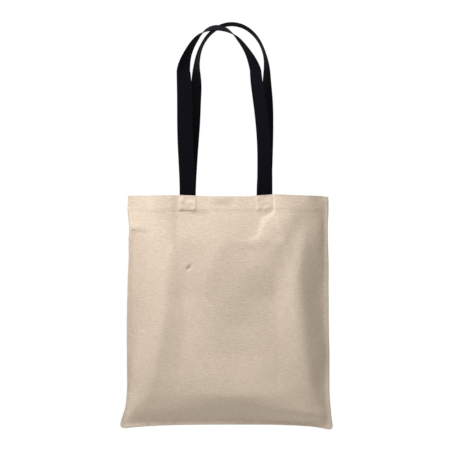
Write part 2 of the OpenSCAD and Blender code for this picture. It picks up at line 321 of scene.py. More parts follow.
def sewn_relief(x, h, rough):
    """The hem, its stitch line, and the webbing ends that show through from inside."""
    gathers = gather_height * np.sin(x * 2 * math.pi / stitch_pitch)
    relief = hem_step * fade(h, hem_line - 0.6, hem_line + 0.6) \
        - hem_groove * hump(h, hem_line + hem_row, 0.75) \
        + gathers * fade(h, hem_line - 3, hem_line)
    half = webbing_wide / 2
    for end, low, high, sunk, pucker in end_edges:
        across, up = np.abs(x - end), h - hem_line
        inside = fade(across, half + 2, half) * fade(up, low, high)
        box = np.maximum(across / (half - box_in),
                         np.abs(up - hem_height / 2) / (hem_height / 2 - box_in))
        rows = hump(box, 1, 0.1) * (box < 1.3)
        rows = np.maximum(rows, hump(up, middle_row, 0.9) * (across < half - box_in + 0.5))
        puckers = pucker * rough * fade(across, half + 5, half) * fade(up, -2, 2)
        under = hump(across, 0, 14, 4) * hump(up, -0.9, 1.4) * fade(x, end + 16, end - 14)
        relief = relief + webbing_step * inside - webbing_groove * rows + puckers - sunk * under
    return relief


# Each panel's own shape: which way it faces, its fold lines, creases, pinch and seed,
# and its marks, as (place, size, turn, depth of shade).
seam_waves = uneven(5, 17.0)
panel_shapes = {
    "front": dict(side=-1, field=bulge(front_lines), creases=front_creases,
                  pinch=front_pinch, seed=11,
                  # Two darker spots, one in the small dent and one beside it.
                  marks=[((-71.2, 284.8), (3.4, 2.0), 62, 0.42),
                         ((-66.5, 290.5), (5.0, 1.7), 48, 0.22)]),
    "back": dict(side=1, field=bulge(back_lines), creases=back_creases,
                 pinch=lambda x, h: 0, seed=23, marks=[]),
}
# Its irregularities: wide and fine waves of the cloth, and puckers at the webbing ends.
for shape in panel_shapes.values():
    shape["wide"] = uneven(shape["seed"], 34.0)
    shape["fine"] = uneven(shape["seed"] + 1, 13.0)
    shape["pucker"] = uneven(shape["seed"] + 2, 4.2)

# How high the irregularities are: the wide ones, the fine ones, those where the seam
# pulls at the cloth, and the waves of the seams themselves.
wide_waves, fine_waves, pulled_waves, seam_wave = 0.45, 0.12, 0.55, 0.35

# The seams' rolled edge, how far in from them the cloth begins and ends to come free, and
# the ridge that their four layers make.
edge_roll = 1.6
free_from, free_at = 1.0, 13.0
seam_ridge = 1.3
ridge_wide = 6.5

# The bottom corners: how far they are rounded, how much of them that takes off, and how
# far the right one hangs lower.
corner_size = 11.0
corner_cut = 3.4
right_drop = 2.6


def seam_bend(x, h):
    """How far the seams hang forward of the bag's middle plane, both panels with them:
    the left and the bottom one forward, and the right one a little back."""
    left = 6.5 * np.exp(-(half_width + x) / 20) * fade(h, 60, 120) * fade(h, 372, 348)
    right = 3.0 * np.exp(-(half_width - x) / 12) * fade(h, 60, 120)
    bottom = 3.4 * np.exp(-h / 8) * hump(x, -18, 95, 4)
    return left - right + bottom


def mouth_round(h):
    """How much the round fold at the mouth takes off the cloth at a height."""
    radius = hem_thick / 2
    top = np.clip((h - bag_height + radius) / radius, 0, 1)
    return radius * (1 - np.sqrt(1 - top ** 2))


def panel_face(panel, x, h, sewn=True):
    """Points of a panel's outer face, in millimetres. x runs from seam to seam as if
    the bag were as wide all the way down, and h up from the bottom corners."""
    shape = panel_shapes[panel]
    x, h = np.broadcast_arrays(np.asarray(x, float), np.asarray(h, float))
    edge = np.minimum(half_width - np.abs(x), h)
    out = sampled(shape["field"], x, h) + shape["creases"](x, h)
    out = out + wide_waves * sampled(shape["wide"], x, h)
    pull = fine_waves + pulled_waves * hump(edge, seam_width + 1, 9)
    out = out + pull * sampled(shape["fine"], x, h)
    out = np.maximum(out, 0) * fade(edge, free_from, free_at) \
        + shape["pinch"](x, h) * fade(edge, 0, 2.5)
    if sewn:
        out = out + sewn_relief(x, h, sampled(shape["pucker"], x, h)) * fade(edge, 0, 6)
    # The seams' ridge is uneven, lower at the upper right and broader at the lower left.
    ridge = seam_ridge * hump(edge, 0, ridge_wide) * (0.75 + 0.5 * sampled(seam_waves, x, h))
    ridge = ridge * (1 - fade(x, 150, 170) * (0.55 + 0.35 * fade(h, 230, 290)))
    ridge = ridge + 0.9 * hump(edge, 0, 15) * fade(x, -140, -160) * fade(h, 300, 220)
    rolled = np.sqrt(1 - (1 - np.clip(edge / edge_roll, 0, 1)) ** 2)
    out = out + (hem_thick + ridge) * rolled - mouth_round(h)
    # The seams and the mouth's line wave a little.
    seam = np.where(x < 0, softened(left_seam, h), softened(right_seam, h))
    wave = seam_wave * sampled(seam_waves, np.sign(x) * half_width, h) * fade(h, 0, 40)
    sideways = x / half_width * half_at(h) \
        - np.sign(x) * (seam + wave) * fade(np.abs(x), 0, half_width)
    up = h + bottom_rise * (1 - np.abs(x / half_width) ** 3) * (1 - h / bag_height)
    up = up + softened(mouth_line, x, 5) * fade(h, hem_line - 20, bag_height)
    up = up - right_drop * fade(x, 140, 182) * fade(h, 45, 0)
    corner = np.clip(1 - (half_width - np.abs(x)) / corner_size, 0, 1) \
        * np.clip(1 - h / corner_size, 0, 1)
    sideways = sideways - np.sign(x) * corner_cut * corner ** 2
    up = up + corner_cut * corner ** 2
    forward = shape["side"] * out - seam_bend(x, h)
    return np.stack([sideways, forward, up + mouth_z - bag_height], -1)


def mesh_object(name, points, faces, smooth=True):
    """An object in the scene from points in millimetres and faces."""
    mesh = bpy.data.meshes.new(name)
    mesh.from_pydata((np.asarray(points) / 1000).tolist(), [], faces)
    mesh.polygons.foreach_set("use_smooth", [smooth] * len(mesh.polygons))
    mesh.update()
    made = bpy.data.objects.new(name, mesh)
    bpy.context.scene.collection.objects.link(made)
    return made


def lay_pattern(made, flat):
    """The flat pattern of a piece of cloth as its UV map, so that threads follow it. flat
    holds each point's place on it, in metres."""
    layer = made.data.uv_layers.new(name="pattern")
    corners = np.zeros(len(made.data.loops), int)
    made.data.loops.foreach_get("vertex_index", corners)
    layer.data.foreach_set("uv", np.asarray(flat)[corners].ravel())


def cloth_object(name, outer, inner, uv, painted_edge_shade_and_spots):
    """A closed sheet of cloth from the two grids of its faces, with its flat pattern and
    how far it is darkened, by painted shade at its edges and by spots."""
    rows, columns = outer.shape[:2]
    count = rows * columns
    index = np.arange(count).reshape(rows, columns)
    a, b = index[:-1, :-1].ravel(), index[:-1, 1:].ravel()
    c, d = index[1:, 1:].ravel(), index[1:, :-1].ravel()
    loop = np.concatenate([index[0], index[1:, -1], index[-1, -2::-1], index[-2:0:-1, 0]])
    after = np.roll(loop, -1)
    faces = np.concatenate([np.stack([a, b, c, d], 1), np.stack([d, c, b, a], 1) + count,
                            np.stack([after, loop, loop + count, after + count], 1)])
    points = np.concatenate([outer.reshape(-1, 3), inner.reshape(-1, 3)])
    made = mesh_object(name, points, faces.tolist())
    lay_pattern(made, np.concatenate([uv.reshape(-1, 2)] * 2))
    marks = made.data.attributes.new("painted_edge_shade_and_spots", "FLOAT", "POINT")
    marks.data.foreach_set("value", np.concatenate([painted_edge_shade_and_spots.ravel()] * 2))
    return made


def stepped(*parts):
    """Positions from (start, end, spacing) runs, each once and in order."""
    runs = [np.linspace(a, b, max(2, round((b - a) / s) + 1)) for a, b, s in parts]
    return np.unique(np.round(np.concatenate(runs), 4))


# The cloth's grid is finest at the seams, the webbing ends, the dent and the hem.
seam_x = stepped((169.4, 170, 0.6), (170, 176, 2), (176, 180, 0.8))
grid_x = np.unique(np.round(np.concatenate([
    -seam_x,
    stepped((-169, -92, 3.2), (-92, -52, 1.35), (-52, 42, 3.2), (42, 90, 1.35), (90, 169, 3.2)),
    seam_x,
]), 3))
grid_h = stepped((0, 4, 0.8), (4, 10, 2), (10, 10.6, 0.6), (10.6, 100, 2.6),
                 (100, 276, 3.2), (276, 296, 1.25), (296, 328, 3.2), (328, 346, 1.8),
                 (346, 380, 3.2), (380, 412.8, 1.25), (412.8, 414, 0.3))

# How near the two panels' inner faces come, each to the middle plane.
inner_gap = 0.05

# How dark the painted shade makes the seams' and the mouth's edges.
seam_painted_shade, mouth_painted_shade = 0.22, 0.35


def canvas_panel(panel):
    """One panel: its outer face, its inner one at the cloth's thickness behind it, and
    its flat pattern, measured out from the middle."""
    side = panel_shapes[panel]["side"]
    x, h = np.meshgrid(grid_x[::side * -1], grid_h)
    outer = panel_face(panel, x, h)
    bend = seam_bend(x, h)
    depth = np.abs(panel_face(panel, x, h, sewn=False)[..., 1] + bend)
    edge = np.minimum(half_width - np.abs(x), h)
    thick = canvas_thick + (hem_thick - canvas_thick) * fade(h, hem_line - 0.5, hem_line + 0.8)
    thick = thick - mouth_round(h)
    inner_depth = np.where(edge < seam_width, inner_gap, np.maximum(depth - thick, inner_gap))
    inner = outer.copy()
    inner[..., 1] = side * np.minimum(inner_depth, np.abs(outer[..., 1] + bend)) - bend
    step = np.linalg.norm(np.diff(outer, axis=1), axis=2)
    run = np.concatenate([np.zeros((len(grid_h), 1)), np.cumsum(step, 1)], 1)
    run -= run[:, len(grid_x) // 2][:, None]
    middle = np.linalg.norm(np.diff(outer[:, len(grid_x) // 2], axis=0), axis=1)
    rise = np.concatenate([[0], np.cumsum(middle)])
    uv = np.stack([run, np.broadcast_to(rise[:, None], run.shape)], -1) / 1000
    # Painted shade darkens the seams' and the mouth's edges, and the marks add spots.
    painted_edge_shade_and_spots = seam_painted_shade * hump(edge, 0, 1.3) \
        + mouth_painted_shade * fade(h, bag_height - 2.2, bag_height - 0.6)
    for spot, size, turn, shade in panel_shapes[panel]["marks"]:
        painted_edge_shade_and_spots = np.maximum(painted_edge_shade_and_spots, shade * near(x, h, spot, size, turn))
    return cloth_object(f"{panel}_canvas", outer, inner, uv, painted_edge_shade_and_spots)


def linear(code):
    """A written sRGB colour as the linear one that shaders use."""
    parts = [int(code[i:i + 2], 16) / 255 for i in (1, 3, 5)]
    return [p / 12.92 if p <= 0.04045 else ((p + 0.055) / 1.055) ** 2.4 for p in parts] + [1.0]


def add_node(tree, kind, inputs=(), **settings):
    """One node with its settings, and its inputs as values or as other outputs."""
    made = tree.nodes.new(kind)
    for name, value in settings.items():
        setattr(made, name, value)
    for name, value in dict(inputs).items():
        if isinstance(value, bpy.types.NodeSocket):
            tree.links.new(value, made.inputs[name])
        else:
            made.inputs[name].default_value = value
    return made


def new_material(name, finish):
    """A material whose shader has the values of a finish, with its tree and shader."""
    made = bpy.data.materials.new(name)
    made.use_nodes = True
    shader = made.node_tree.nodes["Principled BSDF"]
    for socket, value in finish.items():
        shader.inputs[socket].default_value = value
    return made, made.node_tree, shader


# Natural cotton canvas, plain woven from unbleached yarn: matt and slightly fuzzy, with
# thick and thin places in the yarn, small nubs and a few seed flecks. Its threads, 0.6 mm
# apart, are too fine to show, so they are drawn eight times as coarse, and faint. The
# thick places, which show more, are 2 mm wide and 13 mm long, and show most in the weft.
thread_spacing = 4.737
slub_wide, slub_long = 2.0, 13.0
fuzz_size = 3.0
cloud_size = 70.0
nub_spacing = 9.0
fleck_spacing = 25.0

# Patterns are laid out in metres. At a scale of 1 a wave node draws a band every
# 2 pi / 20, or twice that where it slants, and the others a grain every 1. So this divided
# by a spacing in millimetres, or 1000 divided by it, is a node's scale.
band_scale = 1000 * 2 * math.pi / 20

canvas, tree, shader = new_material("natural_cotton_canvas", {
    "Roughness": 0.92, "Specular IOR Level": 0.25, "Sheen Weight": 0.12, "Sheen Roughness": 0.6})
pattern = add_node(tree, "ShaderNodeUVMap", uv_map="pattern").outputs["UV"]
weft_place = add_node(tree, "ShaderNodeMapping", {
    "Vector": pattern, "Scale": (1000 / slub_long, 1000 / slub_wide, 1)})
warp_place = add_node(tree, "ShaderNodeMapping", {
    "Vector": pattern, "Location": (3.1, 7.7, 0),
    "Scale": (1000 / slub_wide, 1000 / slub_long, 1)})
weft, warp = [add_node(tree, "ShaderNodeTexNoise", {
    "Vector": place.outputs["Vector"], "Scale": 1.0, "Detail": 3.0, "Roughness": 0.7})
    for place in (weft_place, warp_place)]
fuzz = add_node(tree, "ShaderNodeTexNoise", {
    "Vector": pattern, "Scale": 1000 / fuzz_size, "Detail": 2.0, "Roughness": 0.6})
across, up = [add_node(tree, "ShaderNodeTexWave", {
    "Vector": pattern, "Scale": band_scale / thread_spacing, "Distortion": 1.6,
    "Detail": 1.0, "Detail Scale": 3.0}, bands_direction=way) for way in "XY"]
yarns = add_node(tree, "ShaderNodeMath", {
    0: weft.outputs["Fac"], 1: 1.8, 2: warp.outputs["Fac"]}, operation="MULTIPLY_ADD")
slubs = add_node(tree, "ShaderNodeMath", {
    0: fuzz.outputs["Fac"], 1: 1.1, 2: yarns.outputs["Value"]}, operation="MULTIPLY_ADD")
woven = add_node(tree, "ShaderNodeMath", {
    0: across.outputs["Fac"], 1: 0.7, 2: up.outputs["Fac"]}, operation="MULTIPLY_ADD")
# Thin, shadowed places in the yarn are darker and greyer, and thick ones lighter.
shade = add_node(tree, "ShaderNodeMapRange", {
    "Value": slubs.outputs["Value"], "From Min": 1.55, "From Max": 2.35})
yarn = add_node(tree, "ShaderNodeMix", {
    "Factor": shade.outputs["Result"], "A": linear("#C8B7A4"), "B": linear("#DCCDBC")},
    data_type="RGBA")
# The gaps between threads are darker.
gaps = add_node(tree, "ShaderNodeMapRange", {
    "Value": woven.outputs["Value"], "From Min": 0.0, "From Max": 1.2, "To Min": 0.06,
    "To Max": 0.0})
gapped = add_node(tree, "ShaderNodeMix", {
    "Factor": gaps.outputs["Result"], "A": yarn.outputs["Result"], "B": linear("#BBAA98")},
    data_type="RGBA")
# Paler clouds come from uneven yarn, some 70 mm across.
cloudy = add_node(tree, "ShaderNodeTexNoise", {
    "Vector": pattern, "Scale": 1000 / cloud_size, "Detail": 2.0})
clouds = add_node(tree, "ShaderNodeMapRange", {
    "Value": cloudy.outputs["Fac"], "From Min": 0.3, "From Max": 0.7, "To Min": 0.0,
    "To Max": 0.22})
toned = add_node(tree, "ShaderNodeMix", {
    "Factor": clouds.outputs["Result"], "A": gapped.outputs["Result"],
    "B": linear("#D9C9B5")}, data_type="RGBA")
# Nubs of loose fibre, about 2 mm across and some 9 mm apart, stand up from the cloth.
nub_place = add_node(tree, "ShaderNodeTexVoronoi", {
    "Vector": pattern, "Scale": 1000 / nub_spacing})
nubs = add_node(tree, "ShaderNodeMapRange", {
    "Value": nub_place.outputs["Distance"], "From Min": 0.03, "From Max": 0.13,
    "To Min": 1.0, "To Max": 0.0})
# Seed flecks, 1 to 2 mm across and some 25 mm apart.
fleck = add_node(tree, "ShaderNodeTexVoronoi", {
    "Vector": pattern, "Scale": 1000 / fleck_spacing})
flecked = add_node(tree, "ShaderNodeMapRange", {
    "Value": fleck.outputs["Distance"], "From Min": 0.02, "From Max": 0.046, "To Min": 0.5,
    "To Max": 0.0})
spotted = add_node(tree, "ShaderNodeMix", {
    "Factor": flecked.outputs["Result"], "A": toned.outputs["Result"],
    "B": linear("#8A6F52")}, data_type="RGBA")
# Painted shade greys the folded edges, and two spots darken the front at its dent.
painted_edge_shade_and_spots = add_node(tree, "ShaderNodeAttribute", attribute_name="painted_edge_shade_and_spots")
edge_shaded_and_spotted = add_node(tree, "ShaderNodeMix", {
    "Factor": painted_edge_shade_and_spots.outputs["Fac"], "A": spotted.outputs["Result"], "B": linear("#8E7A66")},
    data_type="RGBA")
tree.links.new(edge_shaded_and_spotted.outputs["Result"], shader.inputs["Base Color"])
threads = add_node(tree, "ShaderNodeMath", {
    0: woven.outputs["Value"], 1: 0.08, 2: slubs.outputs["Value"]}, operation="MULTIPLY_ADD")
height = add_node(tree, "ShaderNodeMath", {
    0: nubs.outputs["Result"], 1: 0.5, 2: threads.outputs["Value"]}, operation="MULTIPLY_ADD")
bump = add_node(tree, "ShaderNodeBump", {
    "Strength": 1.0, "Distance": 0.0003, "Height": height.outputs["Value"]})
tree.links.new(bump.outputs["Normal"], shader.inputs["Normal"])

for panel in panel_shapes:
    made = canvas_panel(panel)
    made.data.materials.append(canvas)
    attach(made, "bag")
    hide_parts(f"{panel}_panel")

# ---------------------------------------------------------------------------------
# Sewing thread
# Cotton thread, a shade paler than the canvas, in lockstitches that sink in at their
# ends. One row holds the hem, and a box with a middle row holds each webbing end, on
# the canvas outside and on the webbing inside.

thread_wide = 0.55
stitch_long = 2.8

# How far a stitch's middle stands out of the cloth, how far out its points lie as shares
# of that, and how thin the thread is at its two tips.
stitch_stands = 0.25
stitch_rise = np.array([-0.9, 0.7, 1.0, 0.7, -0.9])
thread_tip = 0.45

# Spun cotton: a soft, low sheen. Its plies twist round it and show as slanting bands,
# drawn every 1.6 mm, which is about three times as coarse as they are.
ply_pitch = 1.579
thread, tree, shader = new_material("cotton_sewing_thread", {
    "Roughness": 0.7, "Sheen Weight": 0.2})
plies = add_node(tree, "ShaderNodeTexWave", {
    "Vector": add_node(tree, "ShaderNodeTexCoord").outputs["Object"],
    "Scale": 2 * band_scale / ply_pitch, "Distortion": 0.5}, bands_direction="DIAGONAL")
ply_shade = add_node(tree, "ShaderNodeMix", {
    "Factor": plies.outputs["Fac"], "A": linear("#CDBBA5"), "B": linear("#E4D6C4")},
    data_type="RGBA")
tree.links.new(ply_shade.outputs["Result"], shader.inputs["Base Color"])
twist = add_node(tree, "ShaderNodeBump", {
    "Strength": 0.4, "Distance": 0.0001, "Height": plies.outputs["Fac"]})
tree.links.new(twist.outputs["Normal"], shader.inputs["Normal"])


def thread_object(name, runs, radius, sides=6):
    """Lengths of thread, each a round tube along its points, in millimetres, and thinner
    at its two tips."""
    points, faces = [], []
    for run in runs:
        run = np.asarray(run, float)
        count = len(run)
        ahead = np.gradient(run, axis=0)
        ahead /= np.linalg.norm(ahead, axis=1)[:, None]
        ref = np.array([0.0, 1.0, 0.0]) if abs(ahead[0][1]) < 0.8 else np.array([1.0, 0, 0])
        over = np.cross(ahead, ref)
        length = np.linalg.norm(over, axis=1)
        over /= np.where(length < 1e-6, 1, length)[:, None]
        side = np.cross(ahead, over)
        base = len(points)
        for k in range(count):
            wide = radius if 0 < k < count - 1 else radius * thread_tip
            for s in range(sides):
                a = 2 * math.pi * s / sides
                points.append(run[k] + wide * (math.cos(a) * over[k] + math.sin(a) * side[k]))
        for k in range(base, base + (count - 1) * sides, sides):
            for s in range(sides):
                t = (s + 1) % sides
                faces.append((k + s, k + t, k + sides + t, k + sides + s))
        faces.append(tuple(base + s for s in range(sides))[::-1])
        faces.append(tuple(base + (count - 1) * sides + s for s in range(sides)))
    made = mesh_object(name, points, faces)
    made.data.materials.append(thread)
    return made


def stitch_on(face, start, end, stand):
    """One stitch over a face, from one (sideways, height) to another: it comes out of
    the cloth, lies on it and goes back in. stand is how far out its middle lies."""
    t = np.linspace(0, 1, len(stitch_rise))
    places = np.outer(1 - t, start) + np.outer(t, end)
    points = face(places[:, 0], places[:, 1])
    points[:, 1] += stand * stitch_rise
    return points


def row_of_stitches(face, start, end, stand):
    """Stitches evenly along a line, from one (sideways, height) to another."""
    start, end = np.array(start, float), np.array(end, float)
    run = end - start
    length = np.linalg.norm(run)
    count = int(length / stitch_pitch)
    half = run / length * stitch_long / 2
    middles = [start + run * (i + 0.5) / count for i in range(count)]
    return [stitch_on(face, middle - half, middle + half, stand) for middle in middles]


def box_of_stitches(face, end, stand):
    """The box round a webbing end, and the row across its middle."""
    left, right = end - webbing_wide / 2 + box_in, end + webbing_wide / 2 - box_in
    low, high = hem_line + box_in, bag_height - box_in
    corners = [(left, low), (right, low), (right, high), (left, high)]
    rows = [row_of_stitches(face, corners[i], corners[(i + 1) % 4], stand) for i in range(4)]
    rows.append(row_of_stitches(face, (left, hem_line + middle_row),
                                (right, hem_line + middle_row), stand))
    return [stitch for row in rows for stitch in row]


# How much room there is between the hem and the webbing behind it.
webbing_room = 0.15


def webbing_face(panel, end):
    """Middle of a sewn webbing end's thickness, behind the hem, at any height."""
    side = panel_shapes[panel]["side"]
    middle = np.abs(panel_face(panel, end, hem_line + hem_height / 2, sewn=False)[..., 1])

    def face(x, h, stand=0.0):
        x = np.asarray(x, float)
        h = np.asarray(h, float)
        flat = np.stack([x, np.zeros_like(x), h + mouth_z - bag_height], -1)
        flat[..., 1] = side * (middle - hem_thick - webbing_room - webbing_thick / 2 + stand)
        return flat
    return face


# How far short of the seams the hem's row stops.
hem_row_short = 15.0

stitch_pieces = {}
for panel, shape in panel_shapes.items():
    out = shape["side"] * stitch_stands
    face = lambda x, h, panel=panel: panel_face(panel, x, h)
    reach = int((half_width - hem_row_short) / stitch_pitch)
    hem_rows = [stitch_on(face, (i * stitch_pitch - stitch_long / 2, hem_line + hem_row),
                          (i * stitch_pitch + stitch_long / 2, hem_line + hem_row), out)
                for i in range(-reach, reach + 1)]
    made = thread_object(f"{panel}_hem_thread", hem_rows, thread_wide / 2)
    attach(made, "bag")
    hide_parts(f"{panel}_hem_stitching")
    stitch_pieces.setdefault(panel, []).append(made)
    for name, end in zip(("left", "right"), webbing_ends):
        inside = webbing_face(panel, end)
        boxes = box_of_stitches(face, end, out)
        boxes += box_of_stitches(lambda x, h: inside(x, h, -webbing_thick / 2), end, -out)
        made = thread_object(f"{panel}_{name}_box_thread", boxes, thread_wide / 2)
        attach(made, "bag")
        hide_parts(f"{panel}_{name}_handle_stitching")
        stitch_pieces[panel].append(made)

# ---------------------------------------------------------------------------------
# Overlocked seam edges
# Inside the bag, the raw edges of both panels are bound together by a three-thread
# overlock: loops of thread round the edge every 2.5 mm, over the cloth's two layers.

overlock_wide = 4.0
overlock_pitch = 2.5
loop_thread = 0.28
loop_stands = 0.95

# The raw edge inside the loops: half its thickness, how far short of their width it
# stops, how far in from the seam allowance it is, and how far the bottom one reaches.
edge_half_thick = 0.65
edge_short = 0.4
edge_past_seam = 0.6
bottom_reach, bottom_steps = 160, 60

# One loop round the edge: how far on along it, how far out of it and how far into the
# bag each of its points lies, as shares of the pitch, the stand and the width.
loop_path = [(0, -1, 0), (0, -1, 0.5), (0, -0.8, 0.85), (0.45, 0, 1), (0.45, 0.8, 0.85),
             (0.45, 1, 0.5), (0.45, 1, 0)]


def overlock(name, edge_points, inwards, replaced):
    """Loops along the points of a raw edge, and the edge they bind. inwards is the way
    into the bag."""
    edge_points = np.asarray(edge_points, float)
    inwards = np.asarray(inwards, float)
    steps = np.linalg.norm(np.diff(edge_points, axis=0), axis=1)
    length = np.concatenate([[0], np.cumsum(steps)])

    def spot(s):
        return np.array([np.interp(s, length, edge_points[:, k]) for k in range(3)])

    runs = [[spot(at + on * overlock_pitch) + [0, out * loop_stands, 0]
             + inwards * overlock_wide * deep for on, out, deep in loop_path]
            for at in np.arange(overlock_pitch, length[-1] - overlock_pitch, overlock_pitch)]
    made = thread_object(name, runs, loop_thread, sides=5)
    # The bound edges of the cloth fill the loops.
    edge_deep = overlock_wide - edge_short
    core = np.concatenate([edge_points, (edge_points + inwards * edge_deep)[::-1]])
    outline = len(core)
    points = np.concatenate([core + [0, y, 0] for y in (-edge_half_thick, edge_half_thick)])
    faces = []
    for i in range(len(edge_points) - 1):
        a, b, c, d = i, i + 1, outline - 2 - i, outline - 1 - i
        faces.append((a, b, c, d))
        faces.append((d + outline, c + outline, b + outline, a + outline))
    for i in range(outline):
        n = (i + 1) % outline
        faces.append((n, i, i + outline, n + outline))
    raw = mesh_object(name.replace("overlock", "raw_edge"), points, faces, smooth=False)
    lay_pattern(raw, points[:, [0, 2]] / 1000)
    raw.data.materials.append(canvas)
    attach(made, "bag")
    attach(raw, "bag")
    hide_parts(replaced)
    return [made, raw]


side_h = np.arange(seam_width + 4, hem_line - 2, 8.0)
inner_x = half_width - seam_width - edge_past_seam
bound_edges = []
for name, sign in (("left", -1), ("right", 1)):
    edge_x = sign * (half_at(side_h) * inner_x / half_width)
    up = bottom_rise * (1 - (inner_x / half_width) ** 3) * (1 - side_h / bag_height)
    bend = seam_bend(sign * inner_x, side_h)
    line = np.stack([edge_x, -bend, side_h + up + mouth_z - bag_height], 1)
    bound_edges += overlock(f"{name}_overlock", line, (-sign, 0, 0), f"{name}_seam_overlock")
inner_h = seam_width + edge_past_seam
edge_x = np.linspace(-bottom_reach, bottom_reach, bottom_steps)
up = bottom_rise * (1 - np.abs(edge_x / half_at(seam_width)) ** 3) * (1 - seam_width / bag_height)
bend = seam_bend(edge_x, inner_h)
line = np.stack([edge_x, -bend, inner_h + up + mouth_z - bag_height], 1)
bound_edges += overlock("bottom_overlock", line, (0, 0, 1), "bottom_seam_overlock")

# ---------------------------------------------------------------------------------
# Webbing handles
# Black woven cotton webbing, 27 mm wide, with fine ribs and a firm selvedge. Each is
# one length, sewn behind the hem at both ends, that twists edge-on towards the hook
# it hangs from. Both crowns lie side by side there.

# The drop is from the front crown to the mouth, and the spacing and the shift are those
# of the two legs at the mouth.
drop = 289.0
spacing = 136.0
shift = -4.0
arch_height = 71.0
leg_height = drop - arch_height
leg_start = 0.4

# The front crown tips by some degrees, the back one is higher, and there is a gap between
# them. Depths are from the bag's middle plane.
front_tip = 26.0
back_rise = 10.6
crown_gap = 4.0
base_depth = 29.2
crown_depth = (webbing_wide + crown_gap) / 2
inward_curve = 1.2


def ease(t):
    """0 to 1 as t goes from 0 to 1, slowly at both ends."""
    return (1 - math.cos(math.pi * min(1, max(0, t)))) / 2


def mix(a, b, t):
    """A value between two others, at a share of the way."""
    return a + (b - a) * t


def crown_top(rise):
    """How high a crown's centre line is above the mouth. The drop is measured to the
    lower side of the front one."""
    return drop + (webbing_thick + webbing_wide * math.sin(math.radians(front_tip))) / 2 + rise


# Each handle's arch width, top, sharpness, lean and the bow of its legs, with the
# shares of its height between which it leans; and how far its legs have turned at
# shares of its height, as (share, left, right), in degrees.
handles = {
    "front": dict(arch=127.0, top=crown_top(0), point=1.45, lean=-19.0, between=(0, 1.3),
                  bow=3.0, side=-1,
                  turn=[(0, 0, 0), (0.25, 3, 22), (0.55, 12, 42), (0.66, 13, 41),
                        (0.72, 25, 41), (0.75, 33, 47), (0.78, 41, 53), (0.82, 56, 63),
                        (0.86, 66, 73), (0.94, 79, 85), (0.97, 96, 102), (1, 118, 118)]),
    "back": dict(arch=126.0, top=crown_top(back_rise), point=0.9, lean=10.0,
                 between=(-0.05, 0.58), bow=0.0, side=1,
                 turn=[(0, 0, 0), (0.3, -39, -26), (0.55, -54, -42), (0.63, -46, -54),
                       (0.67, -47, -59), (0.71, -60, -65), (0.75, -69, -71),
                       (0.83, -78, -84), (0.88, -84, -85), (1, -84, -84)]),
}


def handle_point(u, handle):
    """Centre line: u runs 0 to 1 up one leg, to 2 over the arch, to 3 down again."""
    def leg(v):
        straight = mix(spacing, handle["arch"], ease(v)) / 2
        return straight + handle["bow"] * math.sin(math.pi * v) ** 2

    if u <= 1:
        x, z = -leg(u), mix(leg_start, leg_height, u)
    elif u < 2:
        x = -handle["arch"] / 2 * math.cos(math.pi * (u - 1))
        z = leg_height + (handle["top"] - leg_height) \
            * math.sin(math.pi * (u - 1)) ** handle["point"]
    else:
        x, z = leg(3 - u), mix(leg_start, leg_height, 3 - u)
    share = z / handle["top"]
    low, high = handle["between"]
    lean = handle["lean"] * ease((share - low) / (high - low))
    return np.array([x + shift + lean, -mix(base_depth, crown_depth, share ** inward_curve),
                     mouth_z + z])


def webbing_outline():
    """Half-round edges and a slightly fuller selvedge, as (across, through)."""
    w, t = webbing_wide / 2, webbing_thick / 2
    flat = [(-w + 1.0, t), (-w + 3.2, t * 0.86), (-w * 0.5, t * 0.9), (0, t * 0.92),
            (w * 0.5, t * 0.9), (w - 3.2, t * 0.86), (w - 1.0, t)]
    tip = [(w - 0.25, t * 0.75), (w, 0), (w - 0.25, -t * 0.75)]
    return flat + tip + [(-a, -b) for a, b in flat + tip]


# How many steps a leg and the arch have, how many times the turns are smoothed where
# those of the two legs meet, and over what height a leg comes in to its sewn end.
leg_steps, arch_steps, sewn_steps = 42, 90, 16
turn_softening = 10
leg_joins = 60.0


